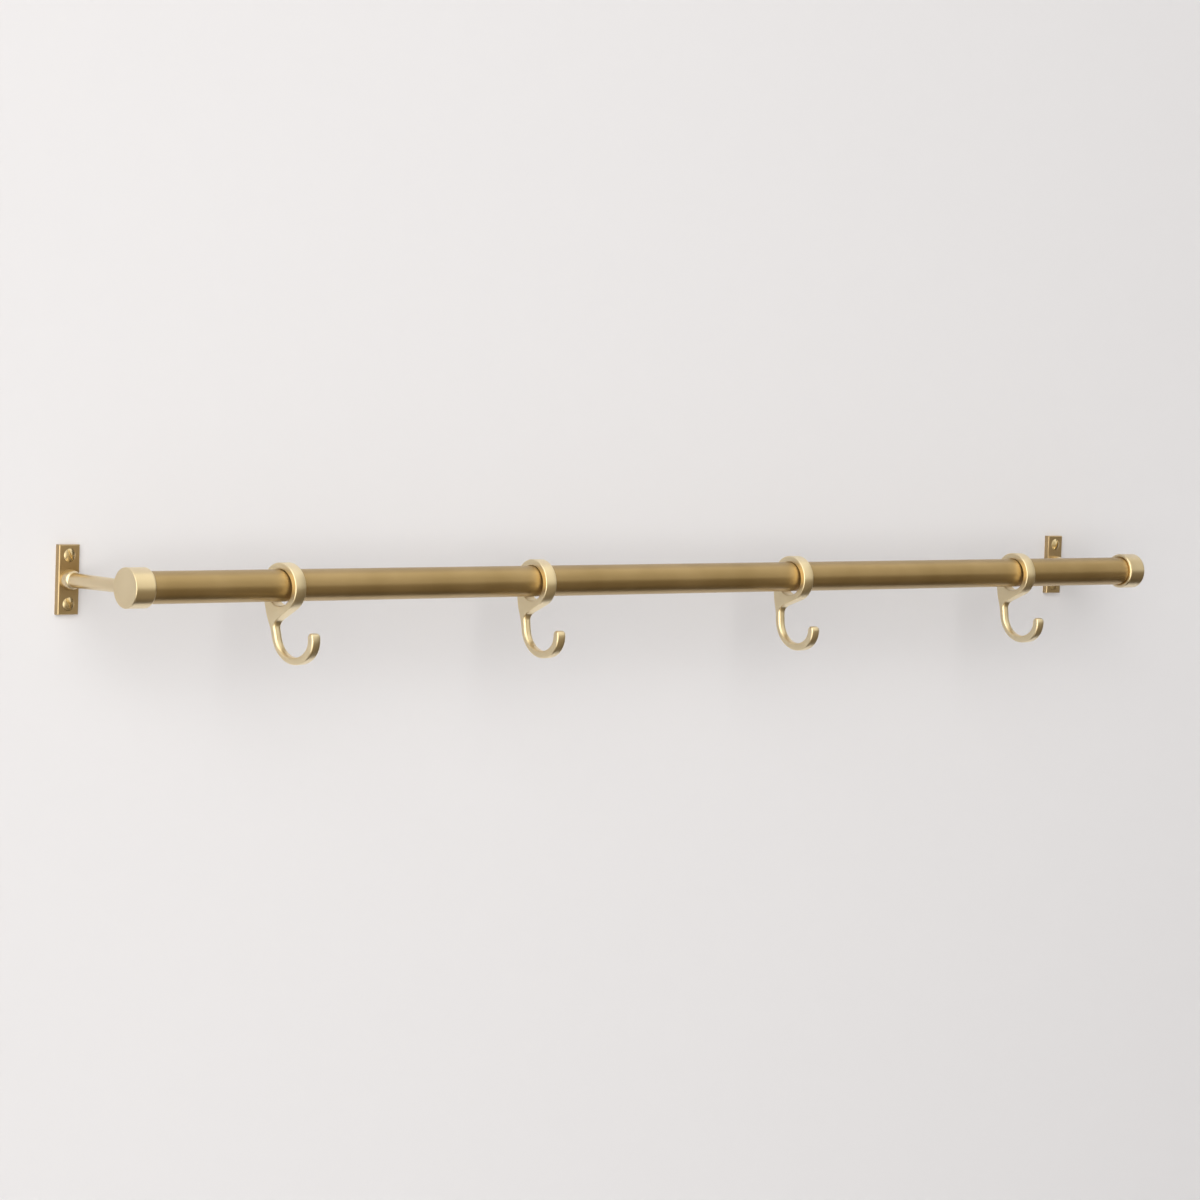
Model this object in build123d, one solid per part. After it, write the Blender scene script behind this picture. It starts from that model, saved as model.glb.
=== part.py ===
from build123d import *
import os
from math import atan2, cos, degrees, radians, sin, sqrt

# Wall-mounted hanging rail in satin brass: a tube between two turned end caps, held off the
# wall by two turned arms on screwed plates, with four cast hooks that slide along the tube.
# The origin is on the wall, midway between the two plates and level with the tube's axis.
# +X runs along the rail to the right as seen from the room, +Y goes into the wall, +Z is up.
# All sizes are in millimetres.

# Rail tube
rail_length = 900.0          # over the outer faces of the two end caps
tube_diameter = 20.0
tube_wall = 1.5
standoff = 75.0              # from the wall to the tube's axis

# End caps
cap_wall = 2.45              # round the tube
cap_length = 15.0
cap_floor = 2.5              # solid end that closes the tube
cap_fit = 0.05               # radial clearance of the tube in the cap
cap_face_round = 0.7
cap_lip_round = 1.3
cap_mouth_chamfer = 0.6

# Arms
arm_root_diameter = 9.2
arm_end_diameter = 8.2
arm_seat_depth = 1.0         # how deep the arm's shoulder sits in the back of the cap
arm_seat_fit = 0.05          # radial clearance of the shoulder in its seat
foot_diameter = 12.8
foot_rim = 1.2               # straight edge of the foot, next to the plate
foot_rise = 6.0
foot_blend = 1.4
spigot_diameter = 6.0
spigot_reach = 4.5           # how far the spigot goes in past the arm's shoulder
spigot_fit = 0.05

# Wall plates
plate_width = 15.0
plate_height = 43.0
plate_thickness = 4.0
plate_edge = 0.5
screw_spacing = 30.0
hole_play = 0.15             # radial, round every screw in the plates

# Wood screws that hold the plates to the wall
wood_screw_diameter = 4.2    # over the thread, which starts at the wall
wood_screw_neck = 3.2        # plain shank inside the plate
wood_screw_runout = 0.5      # taper from the neck to the thread
wood_screw_head = 8.3
wood_screw_length = 32.0     # from the head's rim to the point
wood_screw_dome = 1.4
wood_screw_point = 5.0
wood_slot_width = 1.1
wood_slot_depth = 1.3
wood_slot_turns = (62.0, 68.0, 118.0, 55.0)

# Machine screws that hold the arms to the plates, from behind
arm_screw_diameter = 5.0
arm_screw_head = 9.5
arm_screw_length = 13.0
arm_screw_fit = 0.05
arm_screw_sink = 0.2         # how far the head lies below the back of the plate
arm_slot_width = 1.2
arm_slot_depth = 1.1
tapping_room = 1.5           # hole left free past the screw's end

# Hooks
hook_places = (-0.3684, -0.1425, 0.114, 0.3605)   # middle of each hook, as a share of rail_length
hook_swings = (15.5, 9.3, 4.0, 8.0)             # degrees, foot of the hook towards the room
hook_turns = (6.0, 0.0, 0.0, 0.0)               # degrees, foot of the hook towards +X
ring_play = 1.5              # radial play of the ring on the tube
ring_wall = 4.0
ring_width = 8.8
ring_seat = 0.15             # gap left between the ring and the top of the tube
shank_width = 6.0
tip_width = 7.0
shank_depth = 4.4
bar_depth = 5.7
bowl_radius = 9.0
bowl_forward = 7.2           # bowl's centre, towards the room from the ring's centre
bowl_drop = 34.4             # and below it
back_straight = 28.5         # where the straight back ends, below the ring's centre
front_straight = 29.5
web_slope = 17.0             # degrees, underside of the web between ring and shank
notch_radius = 5.0
neck_top = 12.5              # the casting narrows from the ring's width over this height
neck_bottom = 25.0
swell_start = 6.0            # it widens again from here towards the tip
swell_end = -20.0
tip_short = 5.3              # degrees that the tip stops short of the bowl's centre line
ring_edge = 0.8              # rounding of the ring and the web
bend_edge = 1.7              # rounding of the bend
edge_start = 25.4            # the one grows into the other along the straight shank
edge_end = 28.1
hook_bore_edge = 0.5

# Construction
overcut = 1.0                # how far a cutter runs past a face
touching = 0.001             # how close an edge lies to the line that picks it

tube_radius = tube_diameter / 2
cap_bore = tube_radius + cap_fit
cap_radius = tube_radius + cap_wall
bracket_x = (rail_length - cap_length) / 2
seat_offset = sqrt(cap_radius ** 2 - (arm_end_diameter / 2) ** 2) - arm_seat_depth / 2
ring_radius = tube_radius + ring_play + ring_wall


def save(shape, name):
    shape.label = name
    export_step(shape, "parts/" + name + ".step")


def along_y(radius, start, end):
    """Plain cylinder on the Y axis between two places."""
    return Pos(0, (start + end) / 2, 0) * Rot(90, 0, 0) * Cylinder(radius, abs(end - start))


def turned(points):
    """Solid turned on the Y axis from a list of (radius, y) points."""
    return revolve(make_face(Plane.XY * Polyline(*points, close=True)), Axis.Y)


def rail_tube():
    half = rail_length / 2 - cap_floor
    tube = Rot(0, 90, 0) * (Cylinder(tube_radius, 2 * half)
                            - Cylinder(tube_radius - tube_wall, 2 * half))
    for side in (-1, 1):
        tube -= Pos(side * bracket_x, 0, 0) * along_y(spigot_diameter / 2 + spigot_fit, 0, tube_radius)
    return Pos(0, -standoff, 0) * tube


def end_cap(side):
    """Turned cap over the tube's end, with a flat seat and a tapped hole for the arm behind."""
    blank = Cylinder(cap_radius, cap_length)
    blank = fillet(blank.edges().sort_by(Axis.Z)[-1], cap_face_round)
    blank = fillet(blank.edges().sort_by(Axis.Z)[0], cap_lip_round)
    blank -= Pos(0, 0, -cap_floor) * Cylinder(cap_bore, cap_length)
    mouth = blank.edges().filter_by(GeomType.CIRCLE).group_by(Axis.Z)[0].sort_by(SortBy.RADIUS)[0]
    blank = chamfer(mouth, cap_mouth_chamfer)
    cap = Rot(0, side * 90, 0) * blank
    cap -= along_y(arm_end_diameter / 2 + arm_seat_fit, seat_offset, cap_radius + overcut)
    cap -= along_y(spigot_diameter / 2 + spigot_fit, 0, cap_radius)
    return Pos(side * bracket_x, -standoff, 0) * cap


def arm(side):
    """Turned arm: domed foot on the plate, tapered stem, shoulder and spigot at the cap."""
    root = arm_root_diameter / 2
    end = arm_end_diameter / 2
    spigot = spigot_diameter / 2
    foot = foot_diameter / 2
    shoulder = -standoff + seat_offset
    tip = shoulder - spigot_reach
    face = -plate_thickness
    rim = face - foot_rim
    crown = face - foot_rise
    with BuildLine() as outline:
        Polyline((0, face), (foot, face), (foot, rim))
        EllipticalCenterArc((root, rim), foot - root, rim - crown, 270, arc_size=90)
        Polyline((root, crown), (end, shoulder), (spigot, shoulder), (spigot, tip), (0, tip), (0, face))
    body = revolve(make_face(outline.line), Axis.Y)
    corner = [e for e in body.edges().filter_by(GeomType.CIRCLE)
              if abs(e.radius - root) < touching and abs(e.center().Y - crown) < touching]
    body = fillet(corner, foot_blend)
    tapped_end = -arm_screw_sink - arm_screw_length - tapping_room
    body -= along_y(arm_screw_diameter / 2 + arm_screw_fit, tapped_end, face)
    return Pos(side * bracket_x, 0, 0) * body


def sunk_hole(shank, head, face_y, deep_y, out):
    """Cutter for a hole whose 90 degree countersink opens at face_y, towards out."""
    sink = head - shank
    cone = [(0, face_y), (head, face_y), (shank, face_y - out * sink), (shank, deep_y), (0, deep_y)]
    return turned(cone)


def wall_plate(side):
    plate = Box(plate_width, plate_thickness, plate_height)
    front = plate.faces().sort_by(Axis.Y)[0]
    plate = chamfer(front.edges(), plate_edge)
    plate = Pos(0, -plate_thickness / 2, 0) * plate
    wood = wood_screw_diameter / 2 + hole_play
    wood_head = wood_screw_head / 2 + hole_play
    for up in (-1, 1):
        hole = sunk_hole(wood, wood_head, -plate_thickness, overcut, -1)
        plate -= Pos(0, 0, up * screw_spacing / 2) * hole
    screw = arm_screw_diameter / 2 + hole_play
    screw_head = arm_screw_head / 2 + hole_play + arm_screw_sink
    plate -= sunk_hole(screw, screw_head, 0, -plate_thickness - overcut, 1)
    return Pos(side * bracket_x, 0, 0) * plate


def wood_screw(turn):
    """Slotted screw with a raised countersunk head, its rim level with the plate's front."""
    rim = wood_screw_head / 2
    neck = wood_screw_neck / 2
    thread = wood_screw_diameter / 2
    face = -plate_thickness
    tip = face + wood_screw_length
    with BuildLine() as outline:
        Line((0, face - wood_screw_dome), (0, tip))
        Line((0, tip), (thread, tip - wood_screw_point))
        Line((thread, tip - wood_screw_point), (thread, 0))
        Line((thread, 0), (neck, -wood_screw_runout))
        Line((neck, -wood_screw_runout), (neck, face + rim - neck))
        Line((neck, face + rim - neck), (rim, face))
        sphere = (rim ** 2 + wood_screw_dome ** 2) / (2 * wood_screw_dome)
        RadiusArc((rim, face), (0, face - wood_screw_dome), sphere)
    body = revolve(make_face(outline.line), Axis.Y)
    slot = Pos(0, face - wood_screw_dome, 0) * Box(2 * rim, 2 * wood_slot_depth, wood_slot_width)
    return body - Rot(0, turn, 0) * slot


def arm_screw(side):
    """Countersunk machine screw through the plate from behind into the arm's foot."""
    rim = arm_screw_head / 2
    shank = arm_screw_diameter / 2
    face = -arm_screw_sink
    body = turned([(0, face), (rim, face), (shank, face - rim + shank),
                   (shank, face - arm_screw_length), (0, face - arm_screw_length)])
    body -= Pos(0, face, 0) * Box(2 * rim, 2 * arm_slot_depth, arm_slot_width)
    return Pos(side * bracket_x, 0, 0) * body


def side_arc(line_y, start_z, bowl):
    """Arc that leaves an upright line at start_z and runs smoothly into the bowl's circle."""
    across = line_y + bowl_forward
    drop = start_z + bowl_drop
    radius = (across ** 2 + drop ** 2 - bowl ** 2) / (2 * (across - bowl))
    centre = (line_y - radius, start_z)
    angle = atan2(-bowl_drop - centre[1], -bowl_forward - centre[0])
    return centre, radius, degrees(angle)


def hook_outline():
    """Outline of the casting seen from its side, with the ring's centre at the origin."""
    front = ring_radius - shank_depth
    bowl = (-bowl_forward, -bowl_drop)
    outer = bowl_radius + bar_depth
    slope = radians(web_slope)
    touch = (-ring_radius * sin(slope), -ring_radius * cos(slope))
    notch_y = front - notch_radius
    along = (notch_y - touch[0] + notch_radius * sin(slope)) / cos(slope)
    notch = (notch_y, touch[1] - notch_radius * cos(slope) - along * sin(slope))
    web_end = (notch[0] + notch_radius * sin(slope), notch[1] + notch_radius * cos(slope))
    in_centre, in_radius, in_angle = side_arc(front, -front_straight, bowl_radius)
    out_centre, out_radius, out_angle = side_arc(ring_radius, -back_straight, outer)
    tip_angle = 180 + tip_short
    middle = bowl_radius + bar_depth / 2
    tip = (bowl[0] + middle * cos(radians(tip_angle)), bowl[1] + middle * sin(radians(tip_angle)))
    with BuildLine() as line:
        CenterArc((0, 0), ring_radius, 0, 270 - web_slope)
        Line(touch, web_end)
        CenterArc(notch, notch_radius, 90 - web_slope, web_slope - 90)
        Line((front, notch[1]), (front, -front_straight))
        CenterArc(in_centre, in_radius, 0, in_angle)
        CenterArc(bowl, bowl_radius, in_angle, tip_angle - 360 - in_angle)
        CenterArc(tip, bar_depth / 2, tip_short, 180)
        CenterArc(bowl, outer, tip_angle, 360 + out_angle - tip_angle)
        CenterArc(out_centre, out_radius, out_angle, -out_angle)
        Line((ring_radius, -back_straight), (ring_radius, 0))
    return make_face(Plane.YZ * line.line)


def neck_outline():
    """Front view of the upper casting: the ring's width, narrowing to the shank's."""
    wide, slim, high = ring_width / 2, shank_width / 2, ring_radius + overcut
    with BuildLine() as line:
        for side in (-1, 1):
            Line((side * wide, high), (side * wide, -neck_top))
            Spline((side * wide, -neck_top), (side * slim, -neck_bottom), tangents=[(0, -1), (0, -1)])
            Line((side * slim, -neck_bottom), (side * slim, -edge_start))
        Line((-slim, -edge_start), (slim, -edge_start))
        Line((-wide, high), (wide, high))
    return make_face(Plane.XZ * line.line)


def swell_outline():
    """Plan view of the bend: the shank's width, growing towards the tip."""
    wide, slim, far = tip_width / 2, shank_width / 2, ring_radius + bowl_drop
    with BuildLine() as line:
        for side in (-1, 1):
            Line((side * slim, far), (side * slim, swell_start))
            Spline((side * slim, swell_start), (side * wide, swell_end), tangents=[(0, -1), (0, -1)])
            Line((side * wide, swell_end), (side * wide, -far))
        Line((-slim, far), (slim, far))
        Line((-wide, -far), (wide, -far))
    return make_face(Plane.XY.offset(-edge_end) * line.line)


def rounded(body, rim, edge):
    """Rounds every edge of the casting that lies on its side outline."""
    edges = [e for e in body.edges() if abs(e.center().X) > touching
             and rim.distance_to(Vertex(0, (e @ 0.5).Y, (e @ 0.5).Z)) < touching]
    return fillet(edges, edge)


def hook():
    """One casting, upright, with the centre of its ring at the origin."""
    outline = hook_outline()
    blank = extrude(outline, ring_width / 2, both=True)
    reach = ring_radius + bowl_drop
    rim = outline.face().outer_wire()
    upper = rounded(blank & extrude(neck_outline(), reach, both=True), rim, ring_edge)
    bend = rounded(blank & extrude(swell_outline(), -reach), rim, bend_edge)
    middle = ring_radius - shank_depth / 2
    shank = loft([Pos(0, middle, -drop) * RectangleRounded(shank_width, shank_depth, edge)
                  for drop, edge in ((edge_start, ring_edge), (edge_end, bend_edge))])
    body = upper + shank + bend
    body -= Rot(0, 90, 0) * Cylinder(tube_radius + ring_play, 2 * ring_width)
    bore = [e for e in body.edges().filter_by(GeomType.CIRCLE)
            if abs(e.radius - tube_radius - ring_play) < touching]
    return fillet(bore, hook_bore_edge)


def hung(casting, x, swing, turn):
    """The casting on the tube, its foot swung towards the room and turned to one side."""
    return Pos(x, -standoff, ring_seat - ring_play) * Rot(0, 0, turn) * Rot(-swing, 0, 0) * casting


os.makedirs("parts", exist_ok=True)
save(rail_tube(), "rail_tube")
for name, side in (("left", -1), ("right", 1)):
    save(end_cap(side), "end_cap_" + name)
    save(arm(side), "arm_" + name)
    save(wall_plate(side), "wall_plate_" + name)
    save(arm_screw(side), "arm_screw_" + name)
corners = [(side, up) for side in (-1, 1) for up in (1, -1)]
for (side, up), turn in zip(corners, wood_slot_turns):
    name = ("left" if side < 0 else "right") + ("_upper" if up > 0 else "_lower")
    place = Pos(side * bracket_x, 0, up * screw_spacing / 2)
    save(place * wood_screw(turn), "wall_screw_" + name)
casting = hook()
for number, (place, swing, turn) in enumerate(zip(hook_places, hook_swings, hook_turns), 1):
    save(hung(casting, place * rail_length, swing, turn), "hook_" + str(number))
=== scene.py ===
from math import atan2, ceil, cos, pi, radians, sin, sqrt

import bmesh
import bpy
from mathutils import Matrix, Vector
from mathutils.geometry import delaunay_2d_cdt


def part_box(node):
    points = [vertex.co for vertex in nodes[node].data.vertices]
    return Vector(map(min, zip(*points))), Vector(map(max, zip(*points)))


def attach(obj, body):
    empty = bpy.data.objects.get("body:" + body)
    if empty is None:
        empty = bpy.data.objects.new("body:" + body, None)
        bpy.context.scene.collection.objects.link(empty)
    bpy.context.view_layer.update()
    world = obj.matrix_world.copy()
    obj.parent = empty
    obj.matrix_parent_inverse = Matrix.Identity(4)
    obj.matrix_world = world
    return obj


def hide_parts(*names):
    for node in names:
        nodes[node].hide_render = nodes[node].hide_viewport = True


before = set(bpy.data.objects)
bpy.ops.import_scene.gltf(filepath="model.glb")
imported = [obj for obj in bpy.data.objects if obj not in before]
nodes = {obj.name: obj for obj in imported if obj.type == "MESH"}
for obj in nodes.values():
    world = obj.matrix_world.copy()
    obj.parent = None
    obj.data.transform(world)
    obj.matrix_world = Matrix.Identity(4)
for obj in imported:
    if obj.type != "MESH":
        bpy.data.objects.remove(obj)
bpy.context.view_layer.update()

# Wall plates. Flat bars of rolled brass with a small chamfer round the front, satin brushed
# along their length and lacquered. Two wood screws hold each one to the wall.
plate_tones = ((0.54, 0.41, 0.23, 1), (0.64, 0.49, 0.29, 1))
cloud_size = 0.035           # slow drift of tone over the metal
cloud_tone = 0.9             # its share of the tone; the marks make up the rest
tone_span = (0.25, 0.75)     # noise that gives the darker and the lighter tone
lacquer = 0.12
lacquer_roughness = 0.18
plate_grain = 0.00035        # spacing of the brush lines
plate_grain_length = 0.02
plate_roughness = 0.34
plate_grain_depth = 0.00002
plate_brushed = 0.7          # how far the shine is drawn out across the brush lines
uneven_shine = 0.06          # how much the marks and the drift change the roughness


class Wire:
    """A socket of a finish. Sums and products of wires add their Math nodes."""

    def __init__(self, finish, socket):
        self.finish = finish
        self.socket = socket

    def maths(self, operation, *terms):
        return self.finish.node("ShaderNodeMath", {"operation": operation}, dict(enumerate(terms)))

    def __add__(self, other):
        return self.maths("ADD", self, other)

    def __sub__(self, other):
        return self.maths("SUBTRACT", self, other)

    def __rsub__(self, other):
        return self.maths("SUBTRACT", other, self)

    def __mul__(self, other):
        return self.maths("MULTIPLY", self, other)

    def __pow__(self, other):
        return self.maths("POWER", self, other)

    __radd__ = __add__
    __rmul__ = __mul__


class Finish:
    """The nodes of one surface, or of the room round it."""

    def __init__(self, tree):
        self.tree = tree
        tree.nodes.clear()

    def node(self, kind, settings=None, sockets=None, output=0):
        made = self.tree.nodes.new(kind)
        for name, value in (settings or {}).items():
            setattr(made, name, value)
        for key, value in (sockets or {}).items():
            if isinstance(value, Wire):
                self.tree.links.new(value.socket, made.inputs[key])
            else:
                made.inputs[key].default_value = value
        return Wire(self, made.outputs[output]) if made.outputs else None

    def blend(self, share, first, second):
        """Colour that runs from first to second as share goes from 0 to 1."""
        sockets = {0: share, 6: first, 7: second}
        return self.node("ShaderNodeMix", {"data_type": "RGBA"}, sockets, 2)

    def ramp(self, value, low, high):
        """0 where value is low, 1 where it is high, and smooth between."""
        sockets = {"Value": value, "From Min": low, "From Max": high}
        return self.node("ShaderNodeMapRange", {"interpolation_type": "SMOOTHSTEP"}, sockets)

    def place(self):
        """Place on the part, in metres."""
        return self.node("ShaderNodeTexCoord", output=3)

    def along(self, axis):
        return self.node("ShaderNodeSeparateXYZ", {}, {0: self.place()}, axis)

    def stretched(self, scale):
        settings = {"operation": "MULTIPLY"}
        return self.node("ShaderNodeVectorMath", settings, {0: self.place(), 1: scale})

    def noise(self, vector, detail=2.0):
        sockets = {"Vector": vector, "Scale": 1.0, "Detail": detail}
        return self.node("ShaderNodeTexNoise", {}, sockets)

    def lines(self, value, detail=2.0):
        """Uneven lines, one for each step of 1 in value."""
        sockets = {"W": value, "Scale": 1.0, "Detail": detail}
        return self.node("ShaderNodeTexNoise", {"noise_dimensions": "1D"}, sockets)


def satin_brass(name, tones, grain, depth, roughness, brushed=0.0, turned=0.25):
    """Lacquered satin brass. grain makes the brush or turning marks, depth metres deep.
    brushed draws the shine out across marks that run round the piece's own Z axis, or along
    that axis where turned is 0."""
    material = bpy.data.materials.new(name)
    material.use_nodes = True
    finish = Finish(material.node_tree)
    marks = grain(finish)
    cloud = finish.noise(finish.stretched((1 / cloud_size,) * 3))
    tone = finish.ramp(cloud * cloud_tone + marks * (1 - cloud_tone), *tone_span)
    bump = finish.node("ShaderNodeBump", {}, {"Strength": 1.0, "Distance": depth, "Height": marks})
    sockets = {
        "Base Color": finish.blend(tone, *tones),
        "Metallic": 1.0,
        "Roughness": roughness + (marks + cloud - 1) * uneven_shine,
        "Anisotropic": brushed,
        "Anisotropic Rotation": turned,
        "Normal": bump,
        "Coat Weight": lacquer,
        "Coat Roughness": lacquer_roughness,
    }
    shader = finish.node("ShaderNodeBsdfPrincipled", {}, sockets)
    finish.node("ShaderNodeOutputMaterial", {}, {"Surface": shader})
    return material


def coat(material, *names):
    """Puts a finish on solids that no finer mesh replaces."""
    for name in names:
        mesh = nodes[name].data
        mesh.materials.clear()
        mesh.materials.append(material)


def brushed_upright(finish):
    across = 1 / plate_grain
    return finish.noise(finish.stretched((across, across, 1 / plate_grain_length)))


plate_brass = satin_brass("plate_brass", plate_tones, brushed_upright, plate_grain_depth,
                          plate_roughness, plate_brushed, 0.0)
coat(plate_brass, "wall_plate_left", "wall_plate_right")

# Arm screws. Slotted countersunk machine screws of turned brass, put in from behind each
# plate before it goes on the wall. They pull the arm's foot on to the plate.
screw_tones = ((0.80, 0.65, 0.39, 1), (0.90, 0.76, 0.48, 1))
screw_grain = 0.00025
screw_grain_depth = 0.000006
screw_roughness = 0.28


def turned_about_y(centre_x, centre_z, spacing):
    """Fine rings round an axis that stands out from the wall."""
    def grain(finish):
        x, y, z = (finish.along(axis) for axis in range(3))
        radius = ((x - centre_x) ** 2 + (z - centre_z) ** 2) ** 0.5
        return finish.lines((radius + y) * (1 / spacing))
    return grain


def middle(name):
    low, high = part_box(name)
    return (low + high) / 2


for side in ("left", "right"):
    name = "arm_screw_" + side
    centre = middle(name)
    rings = turned_about_y(centre.x, centre.z, screw_grain)
    turned_brass = satin_brass("screw_brass_" + side, screw_tones, rings, screw_grain_depth,
                               screw_roughness)
    coat(turned_brass, name)

# Arms. Turned from round bar: a domed foot against the plate, a slightly tapered stem, and a
# shoulder and spigot that screw into the back of the end cap.
turned_tones = ((0.83, 0.69, 0.44, 1), (0.92, 0.78, 0.52, 1))
turned_grain = 0.0004
turned_grain_depth = 0.000012
arm_tones = ((0.83, 0.69, 0.45, 1), (0.92, 0.78, 0.53, 1))
arm_roughness = 0.30

for side in ("left", "right"):
    name = "arm_" + side
    centre = middle(name)
    rings = turned_about_y(centre.x, centre.z, turned_grain)
    arm_brass = satin_brass("arm_brass_" + side, arm_tones, rings, turned_grain_depth,
                            arm_roughness)
    coat(arm_brass, name)

# End caps. Turned brass cups that slip over the tube's ends, where the arms' spigots hold
# them. Faced flat outside and rounded at the mouth, with turning marks round the rail's axis.
cap_roughness = 0.31
cap_grain_depth = 0.000004


def turned_about_rail(spacing):
    """Fine rings round the rail's own axis."""
    centre = middle("end_cap_left")

    def grain(finish):
        x, y, z = (finish.along(axis) for axis in range(3))
        radius = ((y - centre.y) ** 2 + (z - centre.z) ** 2) ** 0.5
        return finish.lines((radius + x) * (1 / spacing))
    return grain


cap_rings = turned_about_rail(turned_grain)
cap_brass = satin_brass("cap_brass", turned_tones, cap_rings, cap_grain_depth, cap_roughness)
coat(cap_brass, "end_cap_left", "end_cap_right")

# Rail tube. Drawn brass tube, satin brushed round and round, its ends inside the caps. The
# mesh is finer than the solid's and is made along its own Z axis, then turned to the rail.
tube_tones = ((0.48, 0.345, 0.16, 1), (0.56, 0.41, 0.205, 1))
tube_segments = 160
tube_wall = 0.0015
tube_grain = 0.0003
tube_grain_depth = 0.000022
tube_roughness = 0.39
tube_brushed = 0.65
sharp_corner = radians(35)


def solid_of(name, rows, loops):
    """Mesh from rings of points, each row joined to the next, smooth but for sharp corners."""
    mesh = bpy.data.meshes.new(name)
    form = bmesh.new()
    rings = [[form.verts.new(point) for point in row] for row in rows]
    for one, next_one in loops:
        first, second = rings[one], rings[next_one]
        for i in range(len(first)):
            j = (i + 1) % len(first)
            form.faces.new((first[i], first[j], second[j], second[i]))
    bmesh.ops.recalc_face_normals(form, faces=form.faces)
    form.to_mesh(mesh)
    form.free()
    for face in mesh.polygons:
        face.use_smooth = True
    mesh.set_sharp_from_angle(angle=sharp_corner)
    piece = bpy.data.objects.new(name, mesh)
    bpy.context.scene.collection.objects.link(piece)
    return piece


def drawn_tube(name):
    low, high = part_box(name)
    half, outer = (high.x - low.x) / 2, (high.z - low.z) / 2
    turns = [2 * pi * i / tube_segments for i in range(tube_segments)]
    inner = outer - tube_wall
    rows = []
    for z, radius in ((-half, outer), (half, outer), (half, inner), (-half, inner)):
        rows.append([(radius * cos(turn), radius * sin(turn), z) for turn in turns])
    tube = solid_of("brushed_tube", rows, ((0, 1), (1, 2), (2, 3), (3, 0)))
    tube.matrix_world = Matrix.Translation((low + high) / 2) @ Matrix.Rotation(pi / 2, 4, "Y")
    return tube


def rings_along_z(spacing):
    """Fine rings round the piece's own Z axis."""
    return lambda finish: finish.lines(finish.along(2) * (1 / spacing))


tube = drawn_tube("rail_tube")
tube_brass = satin_brass("tube_brass", tube_tones, rings_along_z(tube_grain), tube_grain_depth,
                         tube_roughness, tube_brushed)
tube.data.materials.append(tube_brass)
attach(tube, "rail")
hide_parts("rail_tube")

# Hooks. One brass casting each, ring, shank and bowl together, linished on the flats and
# polished by hand over the rounds, most on the bowl's inner edges. They hang loose on the
# tube and slide along it. The mesh follows the solid casting's outline.
cast_tones = ((0.94, 0.79, 0.51, 1), (0.99, 0.86, 0.59, 1))
cast_speck = 0.0009          # size of the specks that the mould leaves
cast_drag = 0.006            # length of the linishing marks
cast_detail = 3.0
cast_depth = 0.00002
cast_roughness = 0.36
hook_hangs = {               # middle of the ring along the rail, swing and turn in degrees
    "hook_1": (-0.33156, 15.5, 6.0),
    "hook_2": (-0.12825, 9.3, 0.0),
    "hook_3": (0.1026, 4.0, 0.0),
    "hook_4": (0.32445, 8.0, 0.0),
}
ring_drop = 0.00135          # ring's centre below the tube's axis
ring_outer = 0.0155
ring_bore = 0.0115
ring_width = 0.0088
shank_width = 0.006
tip_width = 0.007
shank_depth = 0.0044
bar_depth = 0.0057
bowl_radius = 0.009
bowl_centre = (-0.0072, -0.0344)
back_straight = -0.0285
front_straight = -0.0295
web_slope = radians(17)
notch_radius = 0.005
neck_span = (-0.0125, -0.025)    # heights between which the ring's width narrows
swell_span = (0.006, -0.020)     # and depths between which it widens towards the tip
tip_short = radians(5.3)         # angle by which the tip stops below the bowl's middle
edge_rounds = {"ring": 0.0007, "outer": 0.0012, "inner": 0.0022, "bore": 0.0005}
outline_step = 0.0006
flat_step = 0.0009           # spacing of the vertices on the flats
flat_margin = 0.6            # of that spacing, kept free along the edges
merge_distance = 1e-7
edge_turns = [radians(turn) for turn in (0, 12, 24, 36, 48, 60, 70, 80, 90)]


def eased(value):
    value = min(1, max(0, value))
    return value * value * (3 - 2 * value)


def arc_points(centre, radius, start, end):
    count = max(2, ceil(abs(end - start) * radius / outline_step))
    turns = [start + (end - start) * i / count for i in range(count)]
    return [Vector((centre[0] + radius * cos(turn), centre[1] + radius * sin(turn)))
            for turn in turns]


def line_points(start, end):
    start, end = Vector(start), Vector(end)
    count = max(1, ceil((end - start).length / outline_step))
    return [start.lerp(end, i / count) for i in range(count)]


def side_arc(line_y, start_z, radius):
    """Arc that leaves an upright line at start_z and runs smoothly into the bowl's circle."""
    across, drop = line_y - bowl_centre[0], start_z - bowl_centre[1]
    size = (across ** 2 + drop ** 2 - radius ** 2) / (2 * (across - radius))
    centre = (line_y - size, start_z)
    return centre, size, atan2(bowl_centre[1] - centre[1], bowl_centre[0] - centre[0])


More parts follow.
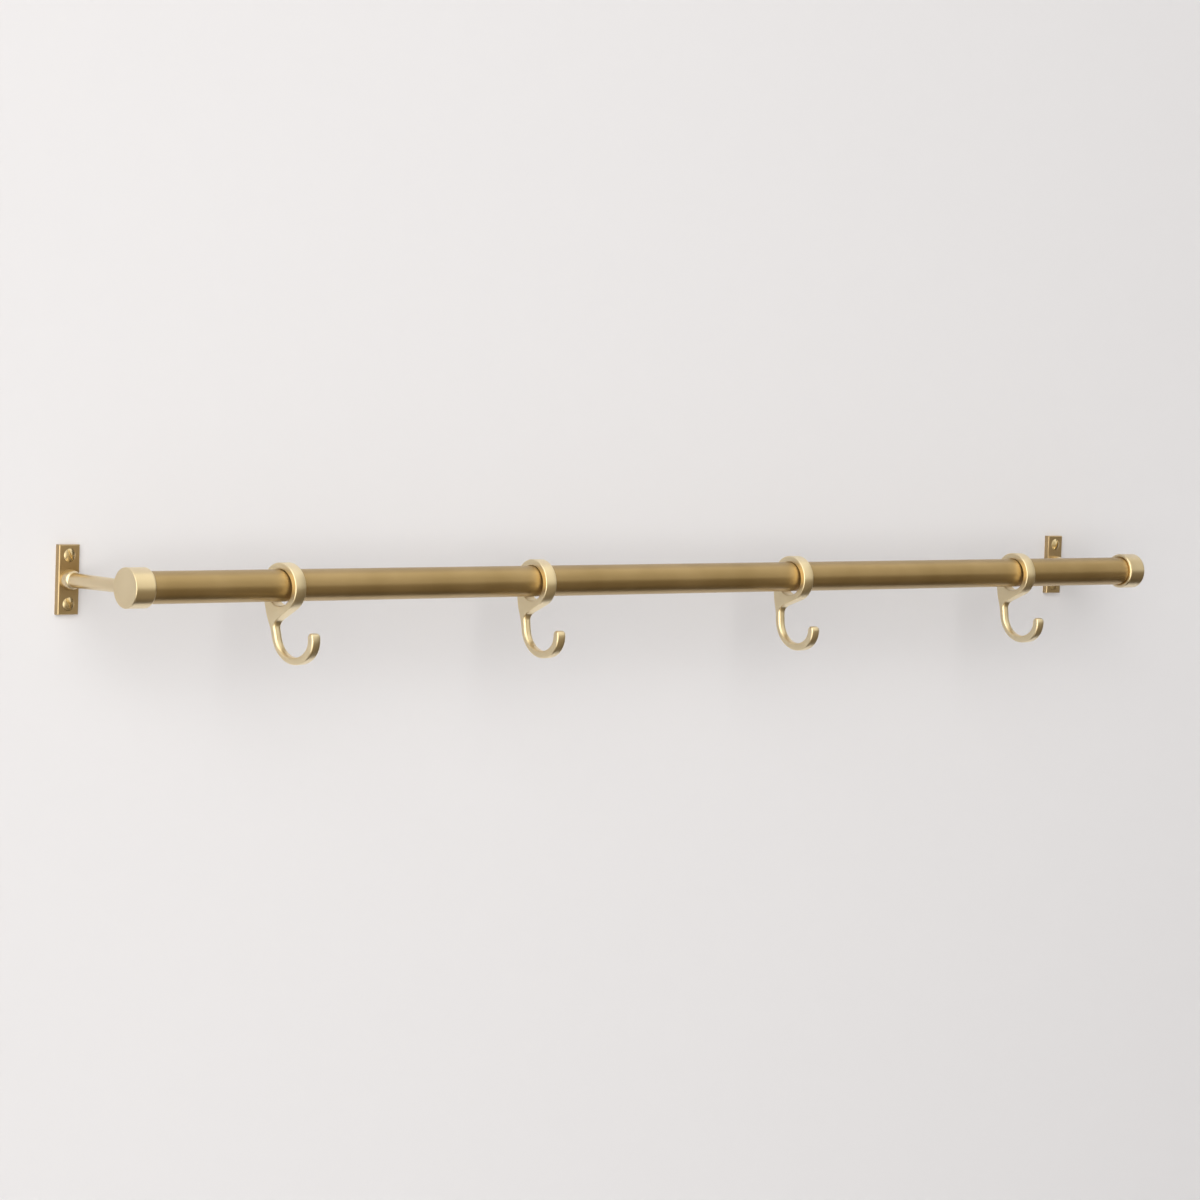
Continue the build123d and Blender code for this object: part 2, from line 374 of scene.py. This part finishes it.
def hook_outline():
    """The casting's outline seen from its side, each point with the rounding of its edge."""
    front = ring_outer - shank_depth
    touch = Vector((-sin(web_slope), -cos(web_slope))) * ring_outer
    notch_y = front - notch_radius
    along = (notch_y - touch.x + notch_radius * sin(web_slope)) / cos(web_slope)
    notch = Vector((notch_y, touch.y - notch_radius * cos(web_slope) - along * sin(web_slope)))
    web_end = notch + Vector((sin(web_slope), cos(web_slope))) * notch_radius
    in_centre, in_radius, in_turn = side_arc(front, front_straight, bowl_radius)
    outer = bowl_radius + bar_depth
    out_centre, out_radius, out_turn = side_arc(ring_outer, back_straight, outer)
    end = pi + tip_short
    tip = Vector(bowl_centre) + Vector((cos(end), sin(end))) * (bowl_radius + bar_depth / 2)
    runs = (
        (arc_points((0, 0), ring_outer, 0, 1.5 * pi - web_slope), "ring", "ring"),
        (line_points(touch, web_end), "ring", "ring"),
        (arc_points(notch, notch_radius, pi / 2 - web_slope, 0), "ring", "inner"),
        (line_points((front, notch.y), (front, front_straight)), "inner", "inner"),
        (arc_points(in_centre, in_radius, 0, in_turn), "inner", "inner"),
        (arc_points(bowl_centre, bowl_radius, in_turn, end - 2 * pi), "inner", "inner"),
        (arc_points(tip, bar_depth / 2, tip_short, end), "inner", "outer"),
        (arc_points(bowl_centre, outer, end, 2 * pi + out_turn), "outer", "outer"),
        (arc_points(out_centre, out_radius, out_turn, 0), "outer", "outer"),
        (line_points((ring_outer, back_straight), (ring_outer, 0)), "outer", "ring"),
    )
    points, rounds = [], []
    for run, first, last in runs:
        growth = edge_rounds[last] - edge_rounds[first]
        for i, point in enumerate(run):
            points.append(point)
            rounds.append(edge_rounds[first] + growth * eased(i / len(run)))
    return points, rounds


def half_width(point):
    """Half of the casting's thickness along the rail."""
    share = eased((point.x - swell_span[0]) / (swell_span[1] - swell_span[0]))
    slim = shank_width + (tip_width - shank_width) * share
    taper = eased((point.y - neck_span[0]) / (neck_span[1] - neck_span[0]))
    return (ring_width + (slim - ring_width) * taper) / 2


def rounded_rim(form, points, rounds, inwards):
    """Rows of vertices over an outline from one flat to the other. Returns the outer rows."""
    count = len(points)
    offsets = []
    for i in range(count):
        along = points[(i + 1) % count] - points[i - 1]
        offsets.append(Vector((-along.y, along.x)).normalized() * inwards)
    rows = []
    for side, turns in ((-1, reversed(edge_turns)), (1, edge_turns)):
        for turn in turns:
            row = []
            for point, size, offset in zip(points, rounds, offsets):
                place = point + offset * (size * (1 - cos(turn)))
                x = side * (half_width(point) - size * (1 - sin(turn)))
                row.append(form.verts.new((x, *place)))
            rows.append(row)
    for first, second in zip(rows, rows[1:]):
        for i in range(count):
            j = (i + 1) % count
            form.faces.new((first[i], first[j], second[j], second[i]))
    return rows[0], rows[-1]


def inside(point, loop):
    """Whether a point lies inside a closed line."""
    hit = False
    for a, b in zip(loop, loop[1:] + loop[:1]):
        if (a.y > point.y) != (b.y > point.y):
            if point.x < a.x + (b.x - a.x) * (point.y - a.y) / (b.y - a.y):
                hit = not hit
    return hit


def flat_side(form, rim, bore, side):
    """Fills one flat between the outline and the ring's bore."""
    rim_line = [vert.co.yz for vert in rim]
    bore_line = [vert.co.yz for vert in bore]
    edge_line = rim_line + bore_line
    verts = list(rim) + list(bore)
    places = list(edge_line)
    low = Vector((min(p.x for p in rim_line), min(p.y for p in rim_line)))
    high = Vector((max(p.x for p in rim_line), max(p.y for p in rim_line)))
    for i in range(1, int((high.x - low.x) / flat_step)):
        for j in range(1, int((high.y - low.y) / flat_step)):
            place = low + Vector((i + (j % 2) / 2, j)) * flat_step
            if min((place - edge).length for edge in edge_line) <= flat_step * flat_margin:
                continue
            if inside(place, rim_line) and not inside(place, bore_line):
                verts.append(form.verts.new((side * half_width(place), *place)))
                places.append(place)
    loops = [(i, (i + 1) % len(rim)) for i in range(len(rim))]
    loops += [(len(rim) + i, len(rim) + (i + 1) % len(bore)) for i in range(len(bore))]
    spots, _, triangles, sources, _, _ = delaunay_2d_cdt(places, loops, [], 0, merge_distance)
    for triangle in triangles:
        centre = sum((spots[k] for k in triangle), Vector((0, 0))) / 3
        if inside(centre, rim_line) and not inside(centre, bore_line):
            form.faces.new([verts[sources[k][0]] for k in triangle])


def cast_hook():
    """One casting, upright, with the centre of its ring at the origin."""
    form = bmesh.new()
    points, rounds = hook_outline()
    left, right = rounded_rim(form, points, rounds, 1)
    bore = arc_points((0, 0), ring_bore, 0, 2 * pi)
    bore_left, bore_right = rounded_rim(form, bore, [edge_rounds["bore"]] * len(bore), -1)
    flat_side(form, left, bore_left, -1)
    flat_side(form, right, bore_right, 1)
    bmesh.ops.recalc_face_normals(form, faces=form.faces)
    mesh = bpy.data.meshes.new("cast_hook")
    form.to_mesh(mesh)
    form.free()
    for face in mesh.polygons:
        face.use_smooth = True
    return mesh


def cast_and_linished(finish):
    """Fine specks of the casting and upright linishing marks, half and half."""
    speck = finish.noise(finish.stretched((1 / cast_speck,) * 3), cast_detail)
    drag = finish.noise(finish.stretched((1 / cast_speck, 1 / cast_speck, 1 / cast_drag)))
    return (speck + drag) * 0.5


hook_mesh = cast_hook()
cast_brass = satin_brass("cast_brass", cast_tones, cast_and_linished, cast_depth, cast_roughness)
hook_mesh.materials.append(cast_brass)
rail_y = middle("rail_tube").y
for name, (x, swing, turn) in hook_hangs.items():
    hook = bpy.data.objects.new("cast_" + name, hook_mesh.copy())
    hung = Matrix.Rotation(radians(turn), 4, "Z") @ Matrix.Rotation(radians(-swing), 4, "X")
    hook.data.transform(Matrix.Translation((x, rail_y, -ring_drop)) @ hung)
    bpy.context.scene.collection.objects.link(hook)
    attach(hook, name)
    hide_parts(name)

# Wood screws. Slotted brass screws with raised countersunk heads, a plain neck in the plate
# and a rolled thread with a gimlet point in the wall behind.
screw_head = 0.00415
screw_dome = 0.0014
screw_neck = 0.0016
screw_runout = 0.0005
thread_top = 0.0021
thread_core = 0.0015
thread_pitch = 0.0018
thread_point = 0.005
thread_share = 0.24          # half of the ridge's foot, as a share of the pitch
thread_rows = 9              # rows of the mesh for each turn
screw_segments = 36
dome_shares = (0.02, 0.2, 0.4, 0.6, 0.8, 1)      # radii of the dome's rows
slot_width = 0.0011
slot_depth = 0.0013
slot_turns = {"left_upper": 62, "left_lower": 68, "right_upper": 118, "right_lower": 55}


def thread_radius(y, angle, tip):
    """Radius of the thread at y behind the wall's face, at one angle round the screw."""
    core = min(thread_core, (tip - y) * thread_core / thread_point)
    start = min(1, y / thread_pitch)
    top = start * (thread_top - thread_core) * min(1, (tip - y) / (thread_point / 2))
    phase = (y / thread_pitch - angle / (2 * pi)) % 1
    return core + top * max(0, 1 - abs(phase - 0.5) / thread_share)


def threaded_screw(corner):
    """Domed and countersunk head, neck and thread in rows, with the slot cut across."""
    node_name = "wall_screw_" + corner
    low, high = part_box(node_name)
    centre = (low + high) / 2
    crown, tip = low.y, high.y
    face = crown + screw_dome
    angles = [2 * pi * i / screw_segments for i in range(screw_segments)]
    sphere = (screw_head ** 2 + screw_dome ** 2) / (2 * screw_dome)
    outline = []
    for share in dome_shares:
        radius = share * screw_head
        outline.append((crown + sphere - sqrt(sphere ** 2 - radius ** 2), radius))
    outline.append((face + screw_head - screw_neck, screw_neck))
    outline += [(-screw_runout, screw_neck), (0, thread_core)]
    rows = []
    for y, radius in outline:
        rows.append([(centre.x + radius * cos(a), y, centre.z + radius * sin(a)) for a in angles])
    steps = int(tip / thread_pitch * thread_rows)
    for step in range(1, steps):
        y = tip * step / steps
        row = []
        for a in angles:
            radius = thread_radius(y, a, tip)
            row.append((centre.x + radius * cos(a), y, centre.z + radius * sin(a)))
        rows.append(row)
    screw = solid_of("threaded_" + corner, rows, [(i, i + 1) for i in range(len(rows) - 1)])
    form = bmesh.new()
    form.from_mesh(screw.data)
    bmesh.ops.holes_fill(form, edges=[edge for edge in form.edges if edge.is_boundary])
    slot = bmesh.new()
    size = (4 * screw_head, 2 * slot_depth, slot_width)
    across = Matrix.Rotation(radians(slot_turns[corner]), 4, "Y") @ Matrix.Diagonal((*size, 1))
    place = Matrix.Translation((centre.x, crown, centre.z))
    bmesh.ops.create_cube(slot, size=1, matrix=place @ across)
    form.to_mesh(screw.data)
    form.free()
    cutter_mesh = bpy.data.meshes.new("slot")
    slot.to_mesh(cutter_mesh)
    slot.free()
    cutter = bpy.data.objects.new("slot_cutter", cutter_mesh)
    bpy.context.scene.collection.objects.link(cutter)
    cut = screw.modifiers.new("slot", "BOOLEAN")
    cut.operation, cut.solver, cut.object = "DIFFERENCE", "EXACT", cutter
    graph = bpy.context.evaluated_depsgraph_get()
    finished = bpy.data.meshes.new_from_object(screw.evaluated_get(graph))
    screw.modifiers.clear()
    screw.data = finished
    bpy.data.objects.remove(cutter)
    for polygon in finished.polygons:
        polygon.use_smooth = True
    finished.set_sharp_from_angle(angle=sharp_corner)
    rings = turned_about_y(centre.x, centre.z, screw_grain)
    finished.materials.clear()
    finished.materials.append(satin_brass("screw_brass_" + corner, screw_tones, rings,
                                          screw_grain_depth, screw_roughness))
    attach(screw, "rail")
    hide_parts(node_name)


for corner in slot_turns:
    threaded_screw(corner)

# Wall and floor. A pale plastered wall that the rail is screwed to and a pale floor below.
# Both show from the room's side only, so that the back of the rail can be looked at.
wall_place = -0.0001         # just in front of the plates' backs, which then show from behind
wall_half_width = 6.0
wall_height = 5.0
floor_drop = 1.1
floor_depth = 6.0
wall_colour = (0.82, 0.81, 0.808, 1)
floor_colour = (0.80, 0.79, 0.78, 1)


def stage_sheet(name, corners, colour):
    """Flat matt sheet that shows on its front only."""
    mesh = bpy.data.meshes.new(name)
    mesh.from_pydata(corners, [], [range(len(corners))])
    material = bpy.data.materials.new(name)
    material.use_nodes = True
    finish = Finish(material.node_tree)
    paint = finish.node("ShaderNodeBsdfDiffuse", {}, {"Color": colour, "Roughness": 1.0})
    clear = finish.node("ShaderNodeBsdfTransparent")
    behind = finish.node("ShaderNodeNewGeometry", output=6)
    shader = finish.node("ShaderNodeMixShader", {}, {0: behind, 1: paint, 2: clear})
    finish.node("ShaderNodeOutputMaterial", {}, {"Surface": shader})
    mesh.materials.append(material)
    sheet = bpy.data.objects.new(name, mesh)
    bpy.context.scene.collection.objects.link(sheet)
    return sheet


wide, low_edge = wall_half_width, -floor_drop
wall_corners = [(-wide, wall_place, low_edge), (wide, wall_place, low_edge),
                (wide, wall_place, wall_height), (-wide, wall_place, wall_height)]
stage_sheet("wall", wall_corners, wall_colour)
floor_corners = [(-wide, -floor_depth, low_edge), (wide, -floor_depth, low_edge),
                 (wide, floor_depth, low_edge), (-wide, floor_depth, low_edge)]
floor = stage_sheet("floor", floor_corners, floor_colour)
floor.visible_glossy = False

# Light. A large soft lamp on the left for the wall, and the room round the rail: pale to the
# eye and on the wall, but in the brass bright above and on the left, brown below, with a
# bright strip right of the middle and the dark beyond it.
lamp_place = (-1.9, -2.6, 0.8)
lamp_size = (3.2, 3.4)
lamp_level = 2.0
lamp_tint = (1.0, 0.985, 0.97)
room_below = (0.42, 0.42, 0.425, 1)
room_above = (0.35, 0.35, 0.36, 1)
brass_dark = (0.07, 0.05, 0.03, 1)
brass_brown = (0.28, 0.225, 0.15, 1)
brass_warm = (0.52, 0.46, 0.35, 1)
brass_light = (0.95, 0.91, 0.81, 1)
brass_strip = (1.18, 1.12, 0.97, 1)
brass_left = (2.2, 2.1, 1.85, 1)
brown_side = 0.58            # the brown in the brass deepens from here to the right
brown_fall = 3.0
left_sides = (-0.25, -0.6)   # the bright left starts between these
strip_sides = (0.47, 0.57)   # the bright strip starts between these
dark_sides = (0.70, 0.79)    # and the room ends in the dark between these
dark_lifts = (-1.5, -0.9)    # in radians over the horizon: the dark turns brown,
brown_lifts = (-0.45, 0.1)   # the brown warm
light_lifts = (0.35, 0.95)   # and the warm light between these
strip_lifts = (-0.12, 0.15)
left_lifts = (-1.2, -0.6)
pale_heights = (-0.3, 0.5)   # where the room on the wall goes from its lower to its upper tone
watts_per_area = 4           # of lamp, for a level of 1


def lamp(name, place, size, level, tint):
    """Flat lamp of an even brightness that faces the rail."""
    light = bpy.data.lights.new(name, "AREA")
    light.shape = "RECTANGLE"
    light.size, light.size_y = size
    light.energy = watts_per_area * size[0] * size[1] * level
    light.color = tint
    source = bpy.data.objects.new(name, light)
    source.location = place
    source.rotation_euler = (-Vector(place)).to_track_quat("-Z", "Y").to_euler()
    source.visible_camera = False
    source.visible_glossy = False
    bpy.context.scene.collection.objects.link(source)


lamp("lamp", lamp_place, lamp_size, lamp_level, lamp_tint)

world = bpy.data.worlds.new("room")
bpy.context.scene.world = world
world.use_nodes = True
room = Finish(world.node_tree)
sight = room.node("ShaderNodeTexCoord", output=0)
to_right, ahead, up = (room.node("ShaderNodeSeparateXYZ", {}, {0: sight}, axis)
                       for axis in range(3))
lift = up.maths("ARCTAN2", up, 0 - ahead)
past = up.maths("MAXIMUM", to_right - brown_side, 0.0)
sunk = lift - past * brown_fall
lower = room.blend(room.ramp(sunk, *dark_lifts), brass_dark, brass_brown)
level_part = room.blend(room.ramp(sunk, *brown_lifts), lower, brass_warm)
lit = room.blend(room.ramp(lift, *light_lifts), level_part, brass_light)
strip = room.ramp(to_right, *strip_sides) * room.ramp(lift, *strip_lifts)
with_strip = room.blend(strip, lit, brass_strip)
front = room.blend(room.ramp(to_right, *dark_sides), with_strip, brass_dark)
on_left = room.ramp(to_right, *left_sides) * room.ramp(lift, *left_lifts)
whole = room.blend(on_left, front, brass_left)
on_wall = room.blend(room.ramp(up, *pale_heights), room_below, room_above)
in_brass = room.node("ShaderNodeLightPath", output=3)
shown = room.blend(in_brass, on_wall, whole)
glow = room.node("ShaderNodeBackground", {}, {"Color": shown, "Strength": 1.0})
room.node("ShaderNodeOutputWorld", {}, {"Surface": glow})

# Camera. Left of the rail and a little above it, turned towards the wall and rolled slightly
# anticlockwise, with a long lens, so that the far end is not much smaller than the near one.
camera_place = (-1.8373, -2.0947, 0.1631)
camera_turn = radians(41.139)
camera_tilt = radians(-3.763)
camera_roll = radians(2.044)
camera_lens = 122.49
camera_sensor = 36

forward = Vector((sin(camera_turn) * cos(camera_tilt), cos(camera_turn) * cos(camera_tilt),
                  sin(camera_tilt)))
level = Vector((cos(camera_turn), -sin(camera_turn), 0))
upright = level.cross(forward)
right = level * cos(camera_roll) + upright * sin(camera_roll)
above = upright * cos(camera_roll) - level * sin(camera_roll)
lens = bpy.data.cameras.new("camera")
lens.lens = camera_lens
lens.sensor_width = camera_sensor
camera = bpy.data.objects.new("camera", lens)
faced = Matrix((right, above, -forward)).transposed().to_4x4()
camera.matrix_world = Matrix.Translation(camera_place) @ faced
bpy.context.scene.collection.objects.link(camera)
bpy.context.scene.camera = camera
bpy.context.scene.view_settings.view_transform = "Standard"
